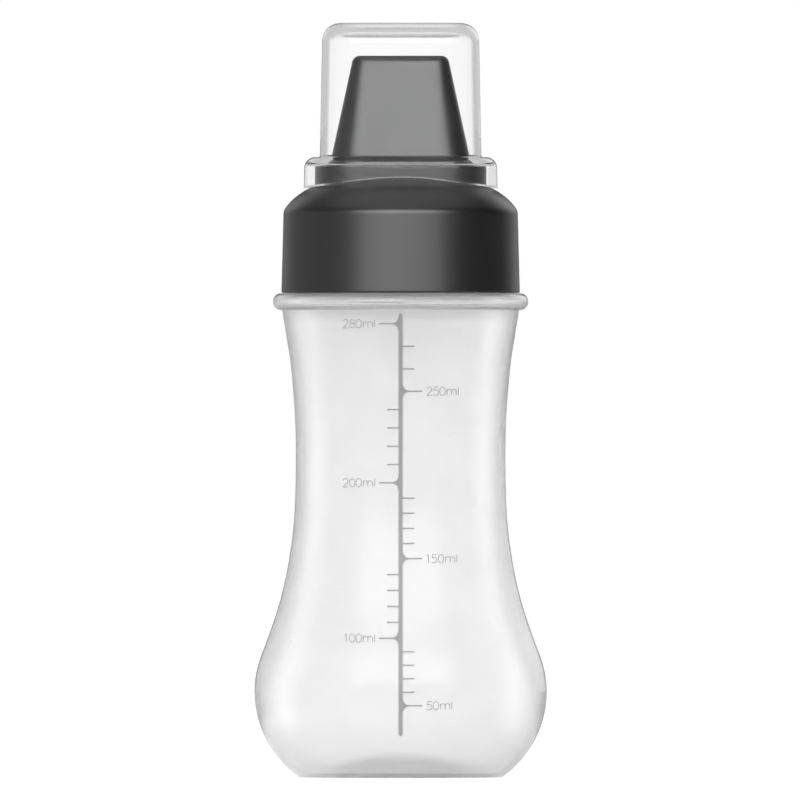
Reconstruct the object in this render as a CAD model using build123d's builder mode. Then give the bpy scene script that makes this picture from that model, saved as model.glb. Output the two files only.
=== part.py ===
from build123d import *
import os
from math import asin, atan, degrees, sqrt

os.makedirs("parts", exist_ok=True)

# Squeeze bottle for sauce, in millimetres.
# The origin is the centre of the base, on the surface the bottle stands on. +Z is up,
# and the long side of the nozzle and of its cover lies along X.

# ---------------------------------------------------------------- bottle
base_ring_inner = 19.0      # inner edge of the flat ring that the bottle stands on
punt_height = 3.2           # hollow under the base
bulge_radius = 35.87
bulge_z = 21.0
foot_curve = 25.5           # radius of the rounded lower body, seen from the side
# Radius and height up the side, from just above the bulge, past the waist, to the shoulder.
side_stations = [
    (34.6, 28.7), (32.8, 33.6), (29.55, 43.4), (27.4, 53.2), (26.15, 63.0),
    (25.7, 76.0), (26.0, 90.0), (27.1, 102.3), (28.65, 112.0),
]
shoulder_radius = 29.06
shoulder_lean = 0.16        # radius gained per unit of height at the shoulder
bead_radius = 31.25
bead_bottom = 114.6
bead_top = 118.65
bead_round = 1.85
base_edge_round = 0.8
neck_radius = 25.4          # without the thread ridge
neck_bore = 23.9
neck_top = 136.5
neck_edge_round = 0.3
bead_inner_round = 0.75     # inside the hollow bead
throat_round = 1.0          # where the shoulder turns up into the neck
bottle_wall = 1.1
bottle_floor = 1.6

# ---------------------------------------------------------------- seal
seal_inner = 23.5
seal_outer = 26.3
seal_height = 1.6

# ---------------------------------------------------------------- screw cap
cap_bottom = 118.75
cap_bottom_radius = 29.25
cap_side_radius = 28.75     # at the top of the straight side
cap_side_top = 138.1
dome_top = 148.07
dome_curve = 73.0           # radius of the gently domed top
dome_edge = 20.5            # where the dome passes into the rounded shoulder
shoulder_stations = [(27.98, 140.0), (26.1, 142.0), (24.3, 143.35)]
cap_edge_round = 0.4
thread_bore = 27.1
thread_lead_in = 0.6
groove_top = 139.3          # top of the groove outside the sealing land
land_inner = 23.4           # the land is the ring that presses on the seal
land_outer = 25.6
dome_wall = 1.8
dome_inner_drop = 4.6       # fall of the dome's underside from its centre to the land

# ---------------------------------------------------------------- slot plan
# Nozzle, plinth and cover share one plan: a rounded slot whose straight sides are this long.
slot_half_length = 9.2

plinth_round = 11.85        # end radius of the slot
plinth_top = 149.6
plinth_edge_round = 0.4
pocket_round = 10.5         # pocket under the plinth, for the nozzle's flange
pocket_top = 147.2
collar_bottom = 144.4       # rim that the pocket walls reach down to
nozzle_hole_round = 8.4
rim_round = 8.9             # low rim round the nozzle's foot, which the cover fits over
rim_top = 151.2
lug_length = 4.0            # snap lugs that hold the nozzle's flange in the pocket
lug_reach = 0.6
lug_height = 0.7
lug_spacing = 12.0

# ---------------------------------------------------------------- nozzle
nozzle_round = 8.3
nozzle_top = 176.9
nozzle_tip_half_length = 7.87
nozzle_tip_round = 3.7
nozzle_wall = 1.4
nozzle_tip_wall = 1.8
nozzle_edge_round = 1.9
nozzle_flange_round = 10.35
nozzle_flange_bottom = 145.6
hole_count = 5
hole_diameter = 2.2
hole_pitch = 4.2

# ---------------------------------------------------------------- cover
cover_top = 184.95
cover_round = 10.6          # end radius at the flange
cover_tip_round = 10.0      # end radius at the top
cover_corner = 4.5
cover_wall = 1.55
cover_roof = 2.0
cover_inner_corner = 2.9
cover_foot_round = 0.5      # between the box and the flange
flange_round = 14.57        # end radius at the skirt's foot
skirt_foot = 144.0          # a little under the lowest point that the dome leaves
flange_draft = 1.2          # degrees
flange_top = 152.05
flange_edge_round = 2.7
plate_bottom = 150.05
skirt_inner_round = 12.7
skirt_inner_corner = 0.5
skirt_dome_gap = 0.3        # the skirt's lower edge follows the cap's dome this far above it
seat_rib_width = 1.2        # low rib under the plate, which rests on the plinth


def slot(half_length, end_radius):
    """Rounded slot, long in X, from half its straight side and its end radius."""
    return SlotCenterToCenter(2 * half_length, 2 * end_radius)


def side_line(inset, foot_z):
    """Side of the bottle from the foot to under the shoulder, moved inwards by inset."""
    curve = foot_curve - inset
    sweep = degrees(asin((bulge_z - foot_z) / curve))
    foot = CenterArc((bulge_radius - foot_curve, bulge_z), curve, -sweep, sweep)
    stations = [(radius - inset, z) for radius, z in side_stations]
    body = Spline([foot @ 1, *stations], tangents=[(0, 1), (shoulder_lean, 1)])
    return foot, body


def dome_z(radius):
    """Height of the cap's domed top at this distance from the axis."""
    return dome_top - dome_curve + sqrt(dome_curve**2 - radius**2)


# Bottle: blow-moulded, with a full lower body, a waist to grip, a bead under the cap and a neck.
with BuildPart() as bottle_body:
    with BuildSketch(Plane.XZ):
        with BuildLine():
            foot, body = side_line(0, 0)
            shoulder = Line(body @ 1, (shoulder_radius, bead_bottom))
            Polyline(
                shoulder @ 1,
                (bead_radius, bead_bottom),
                (bead_radius, bead_top),
                (neck_radius, bead_top),
                (neck_radius, neck_top),
                (0, neck_top),
                (0, punt_height),
            )
            punt = TangentArc((0, punt_height), (base_ring_inner, 0), tangent=(1, 0))
            Line(punt @ 1, foot @ 0)
        make_face()
        with BuildLine():
            foot, body = side_line(bottle_wall, bottle_floor)
            floor_edge = (base_ring_inner, bottle_floor)
            floor_centre = (0, punt_height + bottle_floor)
            Polyline(
                body @ 1,
                (shoulder_radius - bottle_wall, bead_bottom + bottle_wall),
                (bead_radius - bottle_wall, bead_bottom + bottle_wall),
                (bead_radius - bottle_wall, bead_top - bottle_wall),
                (neck_bore, bead_top - bottle_wall),
                (neck_bore, neck_top),
                (0, neck_top),
                floor_centre,
            )
            TangentArc(floor_centre, floor_edge, tangent=(1, 0))
            Line(floor_edge, foot @ 0)
        make_face(mode=Mode.SUBTRACT)
    revolve(axis=Axis.Z)
    rims = bottle_body.edges().filter_by(GeomType.CIRCLE)
    fillet(rims.filter_by(lambda rim: abs(rim.radius - bead_radius) < 0.01), bead_round)
    rims = bottle_body.edges().filter_by(GeomType.CIRCLE)
    hollow = rims.filter_by(lambda rim: abs(rim.radius - bead_radius + bottle_wall) < 0.01)
    fillet(hollow, bead_inner_round)
    throat = bottle_body.edges().filter_by_position(
        Axis.Z, bead_top - bottle_wall - 0.01, bead_top - bottle_wall + 0.01
    )
    fillet(throat.sort_by(SortBy.RADIUS)[0], throat_round)
    stand_edge = bottle_body.edges().group_by(Axis.Z)[0].sort_by(SortBy.RADIUS)[-1]
    fillet(stand_edge, base_edge_round)
    fillet(bottle_body.edges().group_by(Axis.Z)[-1], neck_edge_round)
bottle_body.part.label = "bottle_body"
export_step(bottle_body.part, "parts/bottle_body.step")

# Seal: a flat soft ring between the rim of the neck and the land inside the cap.
with BuildPart() as sealing_ring:
    with BuildSketch(Plane.XY.offset(neck_top)):
        Circle(seal_outer)
        Circle(seal_inner, mode=Mode.SUBTRACT)
    extrude(amount=seal_height)
sealing_ring.part.label = "sealing_ring"
export_step(sealing_ring.part, "parts/sealing_ring.step")

# Screw cap: a tapered skirt, a rounded shoulder and a gently domed top that carries a plinth.
land_z = neck_top + seal_height
dome_edge_lean = dome_edge / sqrt(dome_curve**2 - dome_edge**2)
with BuildPart() as screw_cap:
    with BuildSketch(Plane.XZ):
        with BuildLine():
            dome = TangentArc((0, dome_top), (dome_edge, dome_z(dome_edge)), tangent=(1, 0))
            Spline(
                [(cap_side_radius, cap_side_top), *shoulder_stations, dome @ 1],
                tangents=[(0, 1), (-1, dome_edge_lean)],
            )
            Polyline(
                (cap_side_radius, cap_side_top),
                (cap_bottom_radius, cap_bottom),
                (thread_bore + thread_lead_in, cap_bottom),
                (thread_bore, cap_bottom + thread_lead_in),
                (thread_bore, groove_top),
                (land_outer, groove_top),
                (land_outer, land_z),
                (land_inner, land_z),
                (land_inner, dome_top - dome_wall - dome_inner_drop),
            )
            underside = TangentArc(
                (0, dome_top - dome_wall),
                (land_inner, dome_top - dome_wall - dome_inner_drop),
                tangent=(1, 0),
            )
            Line(underside @ 0, dome @ 0)
        make_face()
    revolve(axis=Axis.Z)
    skirt_edge = screw_cap.edges().group_by(Axis.Z)[0].sort_by(SortBy.RADIUS)[-1]
    fillet(skirt_edge, cap_edge_round)
    with BuildSketch(Plane.XY.offset(collar_bottom)):
        slot(slot_half_length, plinth_round)
    extrude(amount=plinth_top - collar_bottom)
    plinth_face = screw_cap.faces().filter_by(Axis.Z).sort_by(Axis.Z)[-1]
    fillet(plinth_face.outer_wire().edges(), plinth_edge_round)
    with BuildSketch(Plane.XY.offset(plinth_top)):
        slot(slot_half_length, rim_round)
    extrude(amount=rim_top - plinth_top)
    with BuildSketch(Plane.XY.offset(pocket_top)):
        slot(slot_half_length, pocket_round)
    extrude(amount=-(pocket_top - land_z), mode=Mode.SUBTRACT)
    with BuildSketch(Plane.XY.offset(rim_top)):
        slot(slot_half_length, nozzle_hole_round)
    extrude(amount=-(rim_top - land_z), mode=Mode.SUBTRACT)
    with BuildSketch(Plane.XY.offset(nozzle_flange_bottom)):
        with GridLocations(lug_spacing, 2 * pocket_round - lug_reach, 2, 2):
            Rectangle(lug_length, lug_reach)
    extrude(amount=-lug_height)
screw_cap.part.label = "screw_cap"
export_step(screw_cap.part, "parts/screw_cap.step")

# Nozzle: a hollow duck bill with a row of holes, held by its flange in the cap's pocket.
with BuildPart() as nozzle:
    with BuildSketch(Plane.XY.offset(nozzle_flange_bottom)):
        slot(slot_half_length, nozzle_flange_round)
    extrude(amount=pocket_top - nozzle_flange_bottom)
    with BuildSketch(Plane.XY.offset(pocket_top)):
        slot(slot_half_length, nozzle_round)
    extrude(amount=plinth_top - pocket_top)
    with BuildSketch(Plane.XY.offset(plinth_top)):
        slot(slot_half_length, nozzle_round)
    with BuildSketch(Plane.XY.offset(nozzle_top)):
        slot(nozzle_tip_half_length, nozzle_tip_round)
    loft(ruled=True)
    tip_face = nozzle.faces().filter_by(Axis.Z).sort_by(Axis.Z)[-1]
    fillet(tip_face.outer_wire().edges(), nozzle_edge_round)
    with BuildSketch(Plane.XY.offset(nozzle_flange_bottom)):
        slot(slot_half_length, nozzle_round - nozzle_wall)
    extrude(amount=plinth_top - nozzle_flange_bottom, mode=Mode.SUBTRACT)
    with BuildSketch(Plane.XY.offset(plinth_top)):
        slot(slot_half_length, nozzle_round - nozzle_wall)
    with BuildSketch(Plane.XY.offset(nozzle_top - nozzle_tip_wall)):
        slot(nozzle_tip_half_length, nozzle_tip_round - nozzle_wall)
    loft(ruled=True, mode=Mode.SUBTRACT)
    with BuildSketch(Plane.XY.offset(nozzle_top)):
        with GridLocations(hole_pitch, 0, hole_count, 1):
            Circle(hole_diameter / 2)
    extrude(amount=-2 * nozzle_tip_wall, mode=Mode.SUBTRACT)
nozzle.part.label = "nozzle"
export_step(nozzle.part, "parts/nozzle.step")

# Cover: a clear box over the nozzle. Its skirt fits round the plinth and follows the dome.
box_height = cover_top - flange_top
box_draft = degrees(atan((cover_round - cover_tip_round) / box_height))
cavity_round = cover_round - cover_wall
with BuildPart() as dust_cover:
    with BuildSketch(Plane.XY.offset(skirt_foot)):
        slot(slot_half_length, flange_round)
    extrude(amount=flange_top - skirt_foot, taper=flange_draft)
    with BuildSketch(Plane.XY.offset(flange_top)):
        slot(slot_half_length, cover_round)
    extrude(amount=box_height, taper=box_draft)
    shelf = dust_cover.faces().filter_by(Axis.Z).sort_by(Axis.Z)[1]
    fillet(shelf.inner_wires().edges(), cover_foot_round)
    shelf = dust_cover.faces().filter_by(Axis.Z).sort_by(Axis.Z)[1]
    fillet(shelf.outer_wire().edges(), flange_edge_round)
    roof_face = dust_cover.faces().filter_by(Axis.Z).sort_by(Axis.Z)[-1]
    fillet(roof_face.outer_wire().edges(), cover_corner)
    with BuildSketch(Plane.XY.offset(skirt_foot)):
        slot(slot_half_length, skirt_inner_round)
    extrude(amount=plate_bottom - skirt_foot, mode=Mode.SUBTRACT)
    underside = dust_cover.faces().filter_by_position(Axis.Z, plate_bottom, plate_bottom)
    fillet(underside.edges(), skirt_inner_corner)
    with BuildSketch(Plane.XY.offset(plinth_top)):
        slot(slot_half_length, cavity_round + seat_rib_width)
    extrude(amount=flange_top - plinth_top)
    with BuildSketch(Plane.XY.offset(plinth_top)):
        slot(slot_half_length, cavity_round)
    extrude(amount=cover_top - cover_roof - plinth_top, taper=box_draft, mode=Mode.SUBTRACT)
    ceiling = dust_cover.faces().filter_by(Axis.Z).sort_by(Axis.Z)[-2]
    fillet(ceiling.edges(), cover_inner_corner)
    reach = slot_half_length + flange_round + 1
    arch_centre = (0, dome_z(0) + skirt_dome_gap)
    arch_end = (reach, dome_z(reach) + skirt_dome_gap)
    with BuildSketch(Plane.XZ):
        with BuildLine():
            TangentArc(arch_centre, arch_end, tangent=(1, 0))
            Polyline(arch_end, (reach, land_z), (0, land_z), arch_centre)
        make_face()
    revolve(axis=Axis.Z, mode=Mode.SUBTRACT)
dust_cover.part.label = "dust_cover"
export_step(dust_cover.part, "parts/dust_cover.step")
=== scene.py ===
import math

import bmesh
import bpy
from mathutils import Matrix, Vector
from mathutils.bvhtree import BVHTree


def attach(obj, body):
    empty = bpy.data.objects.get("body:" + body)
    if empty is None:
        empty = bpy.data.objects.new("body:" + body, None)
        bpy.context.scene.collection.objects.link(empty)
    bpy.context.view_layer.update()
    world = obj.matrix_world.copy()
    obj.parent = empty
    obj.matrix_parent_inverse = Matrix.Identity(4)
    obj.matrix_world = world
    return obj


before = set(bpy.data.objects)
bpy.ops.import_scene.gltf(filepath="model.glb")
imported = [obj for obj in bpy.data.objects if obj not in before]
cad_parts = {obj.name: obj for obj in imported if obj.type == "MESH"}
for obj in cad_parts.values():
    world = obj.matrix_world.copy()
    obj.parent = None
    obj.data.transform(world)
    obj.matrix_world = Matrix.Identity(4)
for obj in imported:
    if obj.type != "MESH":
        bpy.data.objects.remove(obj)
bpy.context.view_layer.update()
mm = 0.001

# ------------------------------------------------------------------ bottle
# The bottle is blow-moulded from natural low-density polyethylene, a soft, milky plastic that
# lets light through and blurs what is behind it. The mould leaves a satin skin, and a faint line
# up both sides where its halves met.


def new_material(name):
    """A new node material, its node lists and its Principled shader."""
    material = bpy.data.materials.new(name)
    material.use_nodes = True
    nodes = material.node_tree.nodes
    return material, nodes, material.node_tree.links, nodes["Principled BSDF"]


def dress(node, material):
    """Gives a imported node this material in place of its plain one."""
    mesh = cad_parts[node].data
    mesh.materials.clear()
    mesh.materials.append(material)


def grey(tone):
    """An opaque grey."""
    return (tone, tone, tone, 1)


def node_math(nodes, links, operation, *values):
    """A Math node on sockets or numbers."""
    step = nodes.new("ShaderNodeMath")
    step.operation = operation
    for socket, value in zip(step.inputs, values):
        if isinstance(value, (int, float)):
            socket.default_value = value
        else:
            links.new(value, socket)
    return step.outputs[0]


def ramp(nodes, links, value, low, high, at_low, at_high):
    """A smooth step of a socket from at_low at low to at_high at high."""
    step = nodes.new("ShaderNodeMapRange")
    step.interpolation_type = "SMOOTHSTEP"
    step.inputs["From Min"].default_value = low
    step.inputs["From Max"].default_value = high
    step.inputs["To Min"].default_value = at_low
    step.inputs["To Max"].default_value = at_high
    links.new(value, step.inputs["Value"])
    return step.outputs["Result"]


def new_group(name, inputs, outputs):
    """A shader node group with named value inputs and outputs, and its two end nodes."""
    group = bpy.data.node_groups.new(name, "ShaderNodeTree")
    for label, value in inputs:
        socket = group.interface.new_socket(label, in_out="INPUT", socket_type="NodeSocketFloat")
        socket.default_value = value
    for label in outputs:
        group.interface.new_socket(label, in_out="OUTPUT", socket_type="NodeSocketFloat")
    return group, group.nodes.new("NodeGroupInput"), group.nodes.new("NodeGroupOutput")


# Moulded skin: a fine grain with slow, shallow waves under it, as height and as roughness.
# The two sizes are in millimetres.
skin, skin_in, skin_out = new_group(
    "moulded_skin",
    [
        ("Grain Size", 0.3),
        ("Wave Size", 12.0),
        ("Wave Share", 0.4),
        ("Roughness", 0.4),
        ("Roughness Spread", 0.05),
    ],
    ["Height", "Roughness"],
)
place = skin.nodes.new("ShaderNodeTexCoord")
layers = []
for size_label, detail in (("Grain Size", 2.0), ("Wave Size", 1.0)):
    noise = skin.nodes.new("ShaderNodeTexNoise")
    noise.inputs["Detail"].default_value = detail
    size = skin_in.outputs[size_label]
    per_metre = node_math(skin.nodes, skin.links, "DIVIDE", 1 / mm, size)
    skin.links.new(place.outputs["Object"], noise.inputs["Vector"])
    skin.links.new(per_metre, noise.inputs["Scale"])
    layers.append(noise.outputs["Fac"])
fine_grain, slow_waves = layers
blend = skin.nodes.new("ShaderNodeMix")
skin.links.new(skin_in.outputs["Wave Share"], blend.inputs["Factor"])
skin.links.new(fine_grain, blend.inputs["A"])
skin.links.new(slow_waves, blend.inputs["B"])
skin.links.new(blend.outputs["Result"], skin_out.inputs["Height"])
centred = node_math(skin.nodes, skin.links, "SUBTRACT", slow_waves, 0.5)
spread, mean = skin_in.outputs["Roughness Spread"], skin_in.outputs["Roughness"]
rough = node_math(skin.nodes, skin.links, "MULTIPLY_ADD", centred, spread, mean)
skin.links.new(rough, skin_out.inputs["Roughness"])


def use_skin(nodes, grain_size, wave_size, wave_share):
    """Places the moulded skin in a material, with its two sizes in millimetres."""
    placed = nodes.new("ShaderNodeGroup")
    placed.node_tree = skin
    placed.inputs["Grain Size"].default_value = grain_size
    placed.inputs["Wave Size"].default_value = wave_size
    placed.inputs["Wave Share"].default_value = wave_share
    return placed


def vary_roughness(links, placed, shader, mean):
    """Drifts the roughness about its mean with the skin's slow waves."""
    placed.inputs["Roughness"].default_value = mean
    links.new(placed.outputs["Roughness"], shader.inputs["Roughness"])


def vary_colour(nodes, links, placed, shader, darker, lighter):
    """Drifts a grey base colour between two tones with the skin's height."""
    share = nodes.new("ShaderNodeMapRange")
    # The height of the skin seldom leaves this span.
    share.inputs["From Min"].default_value = 0.35
    share.inputs["From Max"].default_value = 0.65
    links.new(placed.outputs["Height"], share.inputs["Value"])
    tones = nodes.new("ShaderNodeMix")
    tones.data_type = "RGBA"
    tones.inputs["A"].default_value = grey(darker)
    tones.inputs["B"].default_value = grey(lighter)
    links.new(share.outputs["Result"], tones.inputs["Factor"])
    links.new(tones.outputs["Result"], shader.inputs["Base Color"])


def add_bump(nodes, links, height, shader, strength, relief):
    """Bump on a shader's normal: relief is the real height, in metres, of a height of 1."""
    bump = nodes.new("ShaderNodeBump")
    bump.inputs["Strength"].default_value = strength
    bump.inputs["Distance"].default_value = relief
    links.new(height, bump.inputs["Height"])
    links.new(bump.outputs["Normal"], shader.inputs["Normal"])


def clear_to_shadows(nodes, links, shader, tint, turns):
    """Lets lamp light through a wall, tinted, and light out that turned in it that often."""
    path = nodes.new("ShaderNodeLightPath")
    trapped = node_math(nodes, links, "GREATER_THAN", path.outputs["Glossy Depth"], turns - 0.5)
    leaves = node_math(nodes, links, "MAXIMUM", path.outputs["Is Shadow Ray"], trapped)
    through = nodes.new("ShaderNodeBsdfTransparent")
    through.inputs["Color"].default_value = grey(tint)
    choose = nodes.new("ShaderNodeMixShader")
    links.new(leaves, choose.inputs["Fac"])
    links.new(shader.outputs[0], choose.inputs[1])
    links.new(through.outputs[0], choose.inputs[2])
    links.new(choose.outputs[0], nodes["Material Output"].inputs["Surface"])


bottle_plastic, nodes, links, shader = new_material("milky_polyethylene")
shader.inputs["IOR"].default_value = 1.45
shader.inputs["Specular Tint"].default_value = grey(0.38)
shader.inputs["Transmission Weight"].default_value = 0.86
milk = nodes.new("ShaderNodeVolumeAbsorption")
milk.inputs["Color"].default_value = grey(0.5)
milk.inputs["Density"].default_value = 170.0
links.new(milk.outputs[0], nodes["Material Output"].inputs["Volume"])
grain = use_skin(nodes, grain_size=0.25, wave_size=9.0, wave_share=0.7)
vary_roughness(links, grain, shader, mean=0.19)
vary_colour(nodes, links, grain, shader, darker=0.925, lighter=0.945)
# The two halves of the mould met in the plane y = 0. Their parting line is widest at its foot
# and, at its crest, stands proud by parting_rise times the relief of the skin.
skin_relief = 0.02 * mm
parting_crest = 0.06 * mm
parting_foot = 0.2 * mm
parting_rise = 3.0
place = nodes.new("ShaderNodeTexCoord")
split = nodes.new("ShaderNodeSeparateXYZ")
links.new(place.outputs["Object"], split.inputs[0])
aside = node_math(nodes, links, "ABSOLUTE", split.outputs["Y"])
parting = ramp(nodes, links, aside, parting_crest, parting_foot, parting_rise, 0.0)
height = node_math(nodes, links, "ADD", grain.outputs["Height"], parting)
add_bump(nodes, links, height, shader, strength=0.3, relief=skin_relief)
clear_to_shadows(nodes, links, shader, tint=0.9, turns=3)
dress("bottle_body", bottle_plastic)

# ------------------------------------------------------------------ printed scale
# The volume scale is screen-printed on the front in grey ink: one long line with a tick every
# 10 ml, turn about on its left and right, and a flared tick with a figure every 50 ml.
scale_line_width = 1.03 * mm
scale_line_top = 113.2 * mm
scale_line_bottom = 10.93 * mm
scale_line_edge = scale_line_width / 2
tick_root = scale_line_edge * 0.9
tick_length = 2.82 * mm
tick_width = 0.34 * mm
long_tick_length = 4.75 * mm
flare_length = 1.5 * mm
flare_height = 2.0 * mm
figure_gap = 1.1 * mm
figure_height = 2.06 * mm
figure_width = 1.35 * mm
figure_stroke = 0.17 * mm
ink_thickness = 0.03 * mm
ink_depth = 0.015 * mm
line_step = 1.2 * mm
tick_step = 0.7 * mm
flare_step = 0.15 * mm
figure_step = 0.3 * mm
figures_on_left = (100, 200, 280)
figures_on_right = (50, 150, 250)
# Height of the liquid at these volumes, in millilitres and millimetres.
fill_heights = {
    50: 17.81, 90: 31.0, 100: 34.29, 150: 53.72, 190: 68.49, 200: 72.25,
    240: 90.15, 250: 94.64, 260: 100.1, 280: 111.16,
}

ink, nodes, links, shader = new_material("grey_ink")
patchy = use_skin(nodes, grain_size=0.15, wave_size=3.0, wave_share=0.3)
vary_roughness(links, patchy, shader, mean=0.5)
vary_colour(nodes, links, patchy, shader, darker=0.285, lighter=0.315)
add_bump(nodes, links, patchy.outputs["Height"], shader, strength=0.3, relief=0.01 * mm)

bottle_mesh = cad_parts["bottle_body"].data
bottle_surface = BVHTree.FromPolygons(
    [v.co for v in bottle_mesh.vertices], [p.vertices for p in bottle_mesh.polygons]
)


def onto_front(x, z, lift):
    """The point on the bottle's front, seen square on at x and z, lifted off the surface."""
    in_front = Vector((x, -0.1, z))
    point, normal, _, _ = bottle_surface.ray_cast(in_front, Vector((0, 1, 0)))
    return point - normal * lift if normal.y > 0 else point + normal * lift


def close_ribbon(form, rims):
    """Joins rings of four corners into one closed ribbon."""
    for a, b in zip(rims, rims[1:]):
        for i in range(4):
            j = (i + 1) % 4
            form.faces.new((a[i], a[j], b[j], b[i]))
    form.faces.new(rims[0][::-1])
    form.faces.new(rims[-1])


def print_stroke(form, points, widths):
    """Adds a stroke of ink along points (x, z), as a thin closed ribbon on the bottle's front."""
    rims = []
    for i, (x, z) in enumerate(points):
        before = Vector(points[max(i - 1, 0)])
        after = Vector(points[min(i + 1, len(points) - 1)])
        along = (after - before).normalized()
        across = Vector((-along.y, along.x)) * widths[i] / 2
        left = (x + across.x, z + across.y)
        right = (x - across.x, z - across.y)
        corners = [
            onto_front(*left, ink_thickness),
            onto_front(*right, ink_thickness),
            onto_front(*right, -ink_depth),
            onto_front(*left, -ink_depth),
        ]
        rims.append([form.verts.new(corner) for corner in corners])
    close_ribbon(form, rims)


def dense(points, step):
    """The same path with points no further apart than step."""
    path = [points[0]]
    for a, b in zip(points, points[1:]):
        count = max(1, math.ceil(math.dist(a, b) / step))
        for i in range(1, count + 1):
            t = i / count
            path.append((a[0] + (b[0] - a[0]) * t, a[1] + (b[1] - a[1]) * t))
    return path


# Edges sharper than this stay crisp on a smooth piece.
sharp_from = math.radians(35)


def finish_form(form, name, body, material, smooth):
    """Turns a bmesh into a named piece that rides a body and takes its finish from a slot."""
    bmesh.ops.recalc_face_normals(form, faces=form.faces)
    mesh = bpy.data.meshes.new(name)
    form.to_mesh(mesh)
    form.free()
    for polygon in mesh.polygons:
        polygon.use_smooth = smooth
    mesh.set_sharp_from_angle(angle=sharp_from)
    mesh.materials.append(material)
    piece = bpy.data.objects.new(name, mesh)
    bpy.context.scene.collection.objects.link(piece)
    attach(piece, body)


def height_at(volume):
    """Height of a volume mark, from the two known heights on each side of it."""
    known = sorted(fill_heights)
    above = next(v for v in known if v >= volume)
    below = [v for v in known if v <= volume][-1]
    if above == below:
        return fill_heights[above] * mm
    share = (volume - below) / (above - below)
    return (fill_heights[below] * (1 - share) + fill_heights[above] * share) * mm


def side_of(volume):
    """-1 where a mark stands on the left of the long line, 1 on its right."""
    return -1 if volume in figures_on_left or 0 < volume % 100 < 50 else 1


def flared_width(x):
    """Width of a long tick at x, swelling into the long line like a fillet."""
    inward = min(1, max(0, 1 - (abs(x) - scale_line_edge) / flare_length))
    swell = 1 - math.sqrt(1 - inward**2)
    return tick_width + (2 * flare_height - tick_width) * swell


scale = bmesh.new()
long_line = dense([(0, scale_line_bottom), (0, scale_line_top)], line_step)
print_stroke(scale, long_line, [scale_line_width] * len(long_line))
# Both ends of the long line are round.
for end, way in ((scale_line_bottom, -1), (scale_line_top, 1)):
    angles = [math.radians(a) for a in range(0, 90, 15)]
    tip = [(0, end + way * scale_line_edge * math.sin(a)) for a in angles]
    print_stroke(scale, tip, [scale_line_width * math.cos(a) for a in angles])
for volume in range(50, 281, 10):
    z, side = height_at(volume), side_of(volume)
    long_tick = volume in figures_on_left + figures_on_right
    length = long_tick_length if long_tick else tick_length
    ends = [(side * tick_root, z), (side * (scale_line_edge + length), z)]
    path = dense(ends, flare_step if long_tick else tick_step)
    widths = [flared_width(x) if long_tick else tick_width for x, _ in path]
    print_stroke(scale, path, widths)


def bow(cx, cy, rx, ry, start, end, steps=14):
    """Points of an elliptical stroke between two angles in degrees."""
    points = []
    for i in range(steps + 1):
        a = math.radians(start + (end - start) * i / steps)
        points.append((cx + rx * math.cos(a), cy + ry * math.sin(a)))
    return points


# Thin upright figures in a box 1 wide and 1 high: each is a list of strokes.
figures = {
    "0": [bow(0.5, 0.5, 0.5, 0.5, 90, 450, 24)],
    "1": [[(0.0, 0.8), (0.35, 1.0), (0.35, 0.0)]],
    "2": [bow(0.48, 0.7, 0.44, 0.3, 165, -32) + [(0.0, 0.0), (0.98, 0.0)]],
    "5": [[(0.92, 1.0), (0.2, 1.0), (0.1, 0.56)] + bow(0.46, 0.335, 0.5, 0.335, 128, -150)],
    "8": [bow(0.5, 0.76, 0.38, 0.24, 90, 450, 20), bow(0.5, 0.27, 0.48, 0.27, 90, 450, 20)],
    "m": [
        [(0.15, 0.08), (0.15, 0.75)],
        bow(0.57, 0.45, 0.42, 0.3, 180, 0, 10) + [(0.99, 0.08)],
        bow(1.41, 0.45, 0.42, 0.3, 180, 0, 10) + [(1.83, 0.08)],
    ],
    "l": [[(0.0, 0.08), (0.0, 0.95)]],
}
# From the start of one figure to the start of the next, in widths.
advance = {"0": 1.18, "1": 0.92, "2": 1.18, "5": 1.18, "8": 1.18, "m": 2.2, "l": 0.0}
figure_forms = bmesh.new()
for volume in sorted(figures_on_left + figures_on_right, reverse=True):
    side = side_of(volume)
    label = f"{volume}ml"
    length = sum(advance[c] for c in label) * figure_width
    start = side * (scale_line_edge + long_tick_length + figure_gap)
    x = start if side > 0 else start - length
    base = height_at(volume) - figure_height / 2
    for c in label:
        for stroke in figures[c]:
            path = [(x + px * figure_width, base + py * figure_height) for px, py in stroke]
            path = dense(path, figure_step)
            print_stroke(figure_forms, path, [figure_stroke] * len(path))
        x += advance[c] * figure_width
finish_form(scale, "printed_scale", "bottle", ink, smooth=False)
finish_form(figure_forms, "printed_figures", "bottle", ink, smooth=False)

# ------------------------------------------------------------------ sealing ring
# A soft ring of milky silicone, cut from sheet. It lies in the top of the cap, which presses it
# on the rim of the neck and keeps the sauce off the thread.
silicone, nodes, links, shader = new_material("milky_silicone")
shader.inputs["IOR"].default_value = 1.41
shader.inputs["Subsurface Weight"].default_value = 0.3
shader.inputs["Subsurface Scale"].default_value = 1.0 * mm
soft = use_skin(nodes, grain_size=0.4, wave_size=5.0, wave_share=0.5)
vary_roughness(links, soft, shader, mean=0.45)
vary_colour(nodes, links, soft, shader, darker=0.8, lighter=0.85)
add_bump(nodes, links, soft.outputs["Height"], shader, strength=0.4, relief=skin_relief)
dress("sealing_ring", silicone)

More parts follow.
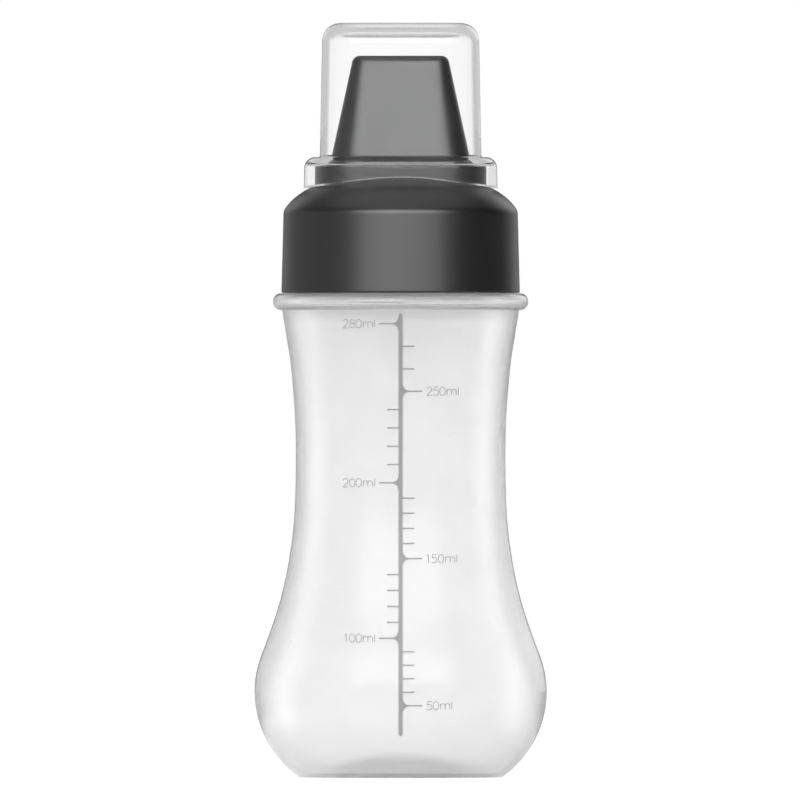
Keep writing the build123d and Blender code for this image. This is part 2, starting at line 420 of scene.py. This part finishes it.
# ------------------------------------------------------------------ screw cap and nozzle
# Both are moulded in dark grey polypropylene, and the mould's fine spark finish leaves them
# satin. The nozzle is a shade paler, and snaps into the pocket in the top of the cap.
cap_tone = 0.005
nozzle_tone = 0.008
tone_spread = 0.1
satins = {}
for node, slot_name, label, tone in (
    ("screw_cap", "cap_plastic", "satin_cap", cap_tone),
    ("nozzle", "nozzle_plastic", "satin_nozzle", nozzle_tone),
):
    satins[node], nodes, links, shader = new_material(label)
    shader.inputs["IOR"].default_value = 1.5
    shader.inputs["Specular IOR Level"].default_value = 1.0
    spark = use_skin(nodes, grain_size=0.12, wave_size=8.0, wave_share=0.2)
    vary_roughness(links, spark, shader, mean=0.38)
    darker, lighter = tone * (1 - tone_spread), tone * (1 + tone_spread)
    vary_colour(nodes, links, spark, shader, darker, lighter)
    add_bump(nodes, links, spark.outputs["Height"], shader, strength=0.06, relief=0.003 * mm)
    dress(node, satins[node])

# ------------------------------------------------------------------ screw thread
# Three ridges on the neck and three in the cap, each nearly one turn of a right-hand helix.
# They are moulded in one with the bottle and the cap, and slide past each other.
thread_lead = 12.7 * mm
thread_starts = 3
thread_pitch = thread_lead / thread_starts
thread_base = 1.9 * mm
thread_crest = 0.8 * mm
thread_bottom = 121.2 * mm
thread_turns = 0.95
thread_steps = 120
thread_fade_steps = 8
thread_sink = 0.02 * mm
neck_radius = 25.4 * mm
neck_ridge = 1.05 * mm
bore_radius = 27.1 * mm
bore_ridge = 1.0 * mm


def thread_ridge(form, radius, height, first_angle, first_z):
    """Adds one helical ridge, proud of a wall by height (negative: towards the axis)."""
    root = radius - math.copysign(thread_sink, height)
    rims = []
    for i in range(thread_steps + 1):
        turn = thread_turns * i / thread_steps
        # The ridge rises from the wall and sinks back into it at its ends.
        fade = min(1, i / thread_fade_steps, (thread_steps - i) / thread_fade_steps)
        crest = radius + height * math.sin(fade * math.pi / 2)
        angle = first_angle + 2 * math.pi * turn
        z = first_z + thread_lead * turn
        section = [
            (root, -thread_base / 2),
            (crest, -thread_crest / 2),
            (crest, thread_crest / 2),
            (root, thread_base / 2),
        ]
        corners = [(r * math.cos(angle), r * math.sin(angle), z + up) for r, up in section]
        rims.append([form.verts.new(corner) for corner in corners])
    close_ribbon(form, rims)


neck_thread = bmesh.new()
cap_thread = bmesh.new()
for start in range(thread_starts):
    angle = 2 * math.pi * start / thread_starts
    thread_ridge(neck_thread, neck_radius, neck_ridge, angle, thread_bottom)
    thread_ridge(cap_thread, bore_radius, -bore_ridge, angle, thread_bottom + thread_pitch / 2)
finish_form(neck_thread, "neck_thread", "bottle", bottle_plastic, smooth=True)
finish_form(cap_thread, "cap_thread", "cap", satins["screw_cap"], smooth=True)

# ------------------------------------------------------------------ cover
# The cover is moulded in clear polystyrene and polished on both sides. It stands on the low rim
# round the nozzle, grips it lightly and lifts straight off.
clear_plastic, nodes, links, shader = new_material("clear_polystyrene")
shader.inputs["Roughness"].default_value = 0.02
shader.inputs["IOR"].default_value = 1.5
shader.inputs["Specular Tint"].default_value = grey(0.35)
shader.inputs["Transmission Weight"].default_value = 1.0
flow = use_skin(nodes, grain_size=1.5, wave_size=11.0, wave_share=0.9)
vary_colour(nodes, links, flow, shader, darker=0.99, lighter=1.0)
add_bump(nodes, links, flow.outputs["Height"], shader, strength=0.2, relief=skin_relief)
clear_to_shadows(nodes, links, shader, tint=0.93, turns=2)
dress("dust_cover", clear_plastic)

# ------------------------------------------------------------------ studio
# A white floor and surround, one wide softbox in front and above, and a tall one on each side.
# None of it is part of the bottle.
scene = bpy.context.scene
scene.view_settings.view_transform = "Standard"
world = bpy.data.worlds.new("studio")
scene.world = world
world.use_nodes = True
nodes, links = world.node_tree.nodes, world.node_tree.links
background = nodes["Background"]
background.inputs["Color"].default_value = (1, 1, 1, 1)


def soft_edges(nodes, links, level, edges):
    """Multiplies a level by edges: a direction, where each starts and ends, and its two levels."""
    for value, *step in edges:
        edge = ramp(nodes, links, value, *step)
        level = node_math(nodes, links, "MULTIPLY", level, edge)
    return level


# A mirrored ray sees the room: a white screen behind on each side, dark between them, grey on
# the left and dark on the right, a pale ceiling, and a white card round the camera.
left_screen = 0.9
right_screen = 1.4
left_grey = 0.48
right_grey = 0.0
ceiling_white = 0.6
card_white = 0.5
direction = nodes.new("ShaderNodeTexCoord")
split = nodes.new("ShaderNodeSeparateXYZ")
links.new(direction.outputs["Generated"], split.inputs[0])
across, away, up = split.outputs
aside = node_math(nodes, links, "ABSOLUTE", across)
screens = ramp(nodes, links, across, -0.1, 0.1, left_screen, right_screen)
screen_edges = (
    (aside, 0.18, 0.35, 0.0, 1.0),
    (away, 0.5, 0.9, 0.0, 1.0),
    (up, 0.0, 0.3, 0.6, 1.1),
    (up, 0.45, 0.75, 1.0, 0.0),
)
screens = soft_edges(nodes, links, screens, screen_edges)
walls = ramp(nodes, links, across, -0.3, 0.3, left_grey, right_grey)
wall_edges = ((up, 0.12, 0.35, 1.0, 0.2), (away, 0.3, 0.8, 1.0, 0.1))
walls = soft_edges(nodes, links, walls, wall_edges)
ceiling = ramp(nodes, links, up, 0.7, 0.9, 0.0, ceiling_white)
card = ramp(nodes, links, away, -0.995, -0.975, card_white, 0.0)
room = node_math(nodes, links, "ADD", screens, walls)
room = node_math(nodes, links, "ADD", room, ceiling)
room = node_math(nodes, links, "ADD", room, card)


def sight(nodes, links, last_step):
    """Masks: rays that came straight or through clear walls only, and rays turned in a wall."""
    path = nodes.new("ShaderNodeLightPath")
    walls_crossed = path.outputs["Transmission Depth"]
    steps = node_math(nodes, links, "SUBTRACT", path.outputs["Ray Depth"], last_step + 0.5)
    straight = node_math(nodes, links, "GREATER_THAN", walls_crossed, steps)
    from_camera, from_wall = path.outputs["Is Camera Ray"], path.outputs["Is Transmission Ray"]
    seen = node_math(nodes, links, "MAXIMUM", from_camera, from_wall)
    straight = node_math(nodes, links, "MULTIPLY", straight, seen)
    entered = node_math(nodes, links, "GREATER_THAN", walls_crossed, 0.5)
    one_wall = node_math(nodes, links, "LESS_THAN", walls_crossed, 2.5)
    mirrored = node_math(nodes, links, "MINIMUM", path.outputs["Glossy Depth"], 1.0)
    inside = node_math(nodes, links, "MULTIPLY", entered, one_wall)
    inside = node_math(nodes, links, "MULTIPLY", inside, mirrored)
    return straight, inside


# What is seen straight is white. Light that turns inside one clear wall leaves it grey.
wall_grey = 0.6
straight, inside = sight(nodes, links, 1)
turned = nodes.new("ShaderNodeMix")
links.new(inside, turned.inputs["Factor"])
links.new(room, turned.inputs["A"])
turned.inputs["B"].default_value = wall_grey
seen = nodes.new("ShaderNodeMix")
links.new(straight, seen.inputs["Factor"])
links.new(turned.outputs["Result"], seen.inputs["A"])
seen.inputs["B"].default_value = 1.0
links.new(seen.outputs["Result"], background.inputs["Strength"])


def softbox(name, azimuth, elevation, width, height, power, in_mirrors=True):
    """A rectangular lamp aimed at the middle of the bottle. Azimuth 0 is in front."""
    distance, aim_height = 1.2, 0.1
    lamp = bpy.data.lights.new(name, "AREA")
    lamp.shape = "RECTANGLE"
    lamp.size = width
    lamp.size_y = height
    lamp.energy = power
    holder = bpy.data.objects.new(name, lamp)
    a, e = math.radians(azimuth), math.radians(elevation)
    outward = Vector((math.sin(a) * math.cos(e), -math.cos(a) * math.cos(e), math.sin(e)))
    holder.location = Vector((0, 0, aim_height)) + outward * distance
    holder.rotation_mode = "QUATERNION"
    holder.rotation_quaternion = outward.to_track_quat("Z", "Y")
    holder.visible_camera = False
    holder.visible_glossy = in_mirrors
    scene.collection.objects.link(holder)
    if not in_mirrors:
        # Light that was mirrored and then came out through a clear wall is left out too, and
        # so is light that the first wall it met has already passed on.
        lamp.use_nodes = True
        nodes, links = lamp.node_tree.nodes, lamp.node_tree.links
        path = nodes.new("ShaderNodeLightPath")
        plain = node_math(nodes, links, "LESS_THAN", path.outputs["Glossy Depth"], 0.5)
        first = node_math(nodes, links, "LESS_THAN", path.outputs["Transmission Depth"], 1.5)
        direct = node_math(nodes, links, "MULTIPLY", plain, first)
        links.new(direct, nodes["Emission"].inputs["Strength"])


softbox("key", azimuth=0, elevation=22.5, width=2.0, height=0.65, power=18.5)
for name, azimuth, power in (("left_fill", -100, 12.5), ("right_fill", 100, 18.5)):
    softbox(name, azimuth, elevation=0, width=0.55, height=1.3, power=power, in_mirrors=False)

# The floor is grey paint that also glows, a little less near the bottle, so that it is white
# in the light and darker in the bottle's shadow. The lower halves of the side lamps shine
# through it. Out of the camera's sight it also glows near the bottle and behind it, more on the
# left than on the right: painted bounce light that lights the bottle and cap from below and
# makes their left side lighter. Distances are in metres from the bottle's axis.
floor_reach = 12.0
floor_tone = 0.3
floor_glow_near = 0.78
floor_glow_far = 1.0
floor_painted_bounce_near = 1.65
floor_painted_bounce_behind = 0.5
painted_bounce_share_left = 0.5
painted_bounce_share_right = 0.22
floor_mesh = bpy.data.meshes.new("floor")
corners = [(x * floor_reach, y * floor_reach, 0) for x, y in ((-1, -1), (1, -1), (1, 1), (-1, 1))]
floor_mesh.from_pydata(corners, [], [(0, 1, 2, 3)])
floor = bpy.data.objects.new("floor", floor_mesh)
scene.collection.objects.link(floor)
floor.visible_shadow = False
floor_paint, nodes, links, shader = new_material("floor_paint")
shader.inputs["Base Color"].default_value = grey(floor_tone)
shader.inputs["Roughness"].default_value = 0.9
shader.inputs["Specular IOR Level"].default_value = 0.0
shader.inputs["Emission Color"].default_value = (1, 1, 1, 1)
place = nodes.new("ShaderNodeTexCoord")
far = nodes.new("ShaderNodeVectorMath")
far.operation = "LENGTH"
links.new(place.outputs["Object"], far.inputs[0])
split = nodes.new("ShaderNodeSeparateXYZ")
links.new(place.outputs["Object"], split.inputs[0])
straight, inside = sight(nodes, links, 0)
inside = node_math(nodes, links, "MULTIPLY", inside, wall_grey)
seen = node_math(nodes, links, "ADD", straight, inside)
glow = ramp(nodes, links, far.outputs["Value"], 0.3, 0.6, floor_glow_near, floor_glow_far)
seen = node_math(nodes, links, "MULTIPLY", glow, seen)
# Painted bounce light: glow that only the bottle's rays see, near it and behind it, stronger on
# the left.
near = ramp(nodes, links, far.outputs["Value"], 0.06, 0.16, floor_painted_bounce_near, 0.0)
behind = ramp(nodes, links, split.outputs["Y"], 0.05, 0.5, 0.0, floor_painted_bounce_behind)
share = ramp(nodes, links, split.outputs["X"], -0.1, 0.1, painted_bounce_share_left, painted_bounce_share_right)
bounce = node_math(nodes, links, "ADD", near, behind)
bounce = node_math(nodes, links, "MULTIPLY", bounce, share)
unseen = node_math(nodes, links, "SUBTRACT", 1.0, straight)
bounce = node_math(nodes, links, "MULTIPLY", unseen, bounce)
glow = node_math(nodes, links, "ADD", seen, bounce)
links.new(glow, shader.inputs["Emission Strength"])
floor_mesh.materials.append(floor_paint)

# The camera stands level with the middle of the frame, far back behind a long lens.
frame_width = 196.2 * mm
frame_middle = 92.5 * mm
frame_offset = -0.15 * mm
camera = bpy.data.cameras.new("camera")
camera.lens = 1600
camera.sensor_width = 36
camera.clip_start = 0.1
camera.clip_end = 60
camera_distance = frame_width * camera.lens / camera.sensor_width
camera_holder = bpy.data.objects.new("camera", camera)
camera_holder.location = (frame_offset, -camera_distance, frame_middle)
camera_holder.rotation_euler = (math.radians(90), 0, 0)
scene.collection.objects.link(camera_holder)
scene.camera = camera_holder
